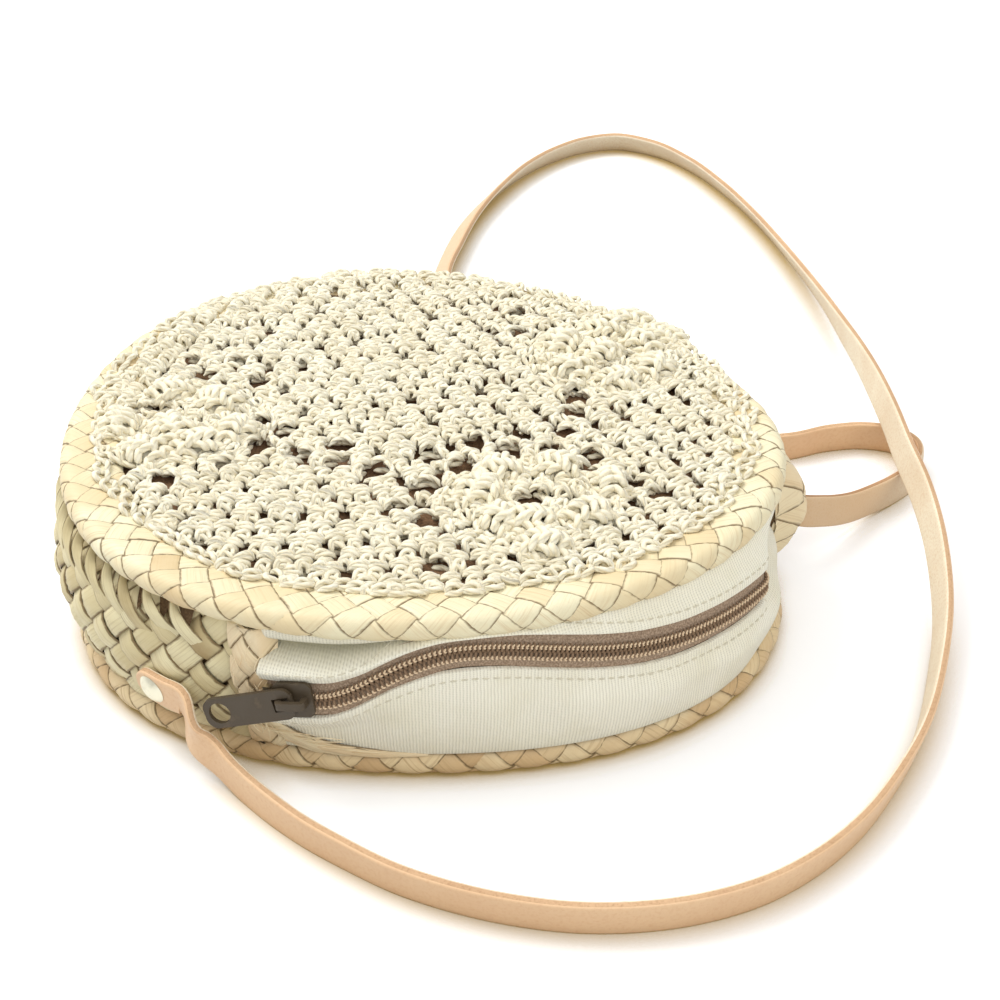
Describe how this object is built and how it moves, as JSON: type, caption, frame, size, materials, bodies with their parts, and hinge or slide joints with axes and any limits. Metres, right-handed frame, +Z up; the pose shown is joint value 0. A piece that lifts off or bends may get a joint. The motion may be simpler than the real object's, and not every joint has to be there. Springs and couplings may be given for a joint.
{
  "type": "round straw crossbody bag",
  "caption": "Round crossbody bag of plaited palm leaf with a crocheted cotton front, a canvas gusset with a coil zip, and a long riveted leather strap.",
  "frame": {"origin": "The middle of the back's underside, on the surface that the bag lies on.", "axes": "+Z points up, out of the crocheted front; -Y is the side with the zip; +X is to the right as seen from the zip side."},
  "size_m": [0.288, 0.5403, 0.0597],
  "materials": {
    "straw": "plaited dry palm leaf, matte with a faint sheen",
    "cotton": "crocheted natural cotton yarn",
    "canvas": "plain-woven natural canvas",
    "lining": "brown cotton lining cloth",
    "zip_tape": "woven polyester tape",
    "zip_coil": "nylon coil",
    "dark_metal": "dark brown enamel on die-cast metal",
    "nickel": "satin nickel plating",
    "leather": "natural vegetable-tanned leather, smooth outside, suede inside"
  },
  "bodies": {
    "bag": {"crochet_front": "cotton", "front_lining": "lining", "top_rim_braid": "straw", "palm_wall": "straw", "wall_lining": "lining", "end_binding_left": "straw", "end_binding_right": "straw", "gusset_upper": "canvas", "gusset_lower": "canvas", "zip_tape_upper": "zip_tape", "zip_tape_lower": "zip_tape", "zip_coil_upper": "zip_coil", "zip_coil_lower": "zip_coil", "zip_top_stops": "nickel", "zip_bottom_stop": "nickel", "bottom_rim_braid": "straw", "back_panel": "straw", "back_lining": "lining", "strap": "leather", "rivet_caps": "nickel", "rivet_posts": "nickel", "rivet_washers": "nickel"},
    "slider": {"zip_slider": "dark_metal", "slider_crown": "dark_metal"},
    "pull_tab": {"pull_tab": "dark_metal"}
  },
  "joints": [
    {"name": "zip_slide", "type": "hinge", "parent": "bag", "child": "slider", "pos_m": [0, 0, 0.01939], "axis": [-0.1293, 0.154, 0.9796], "range_deg": [0, 92]},
    {"name": "tab_swing", "type": "hinge", "parent": "slider", "child": "pull_tab", "pos_m": [-0.02819, -0.109, 0.03281], "axis": [-0.2778, 0.1878, 0.9421], "range_deg": [0, 165]}
  ]
}
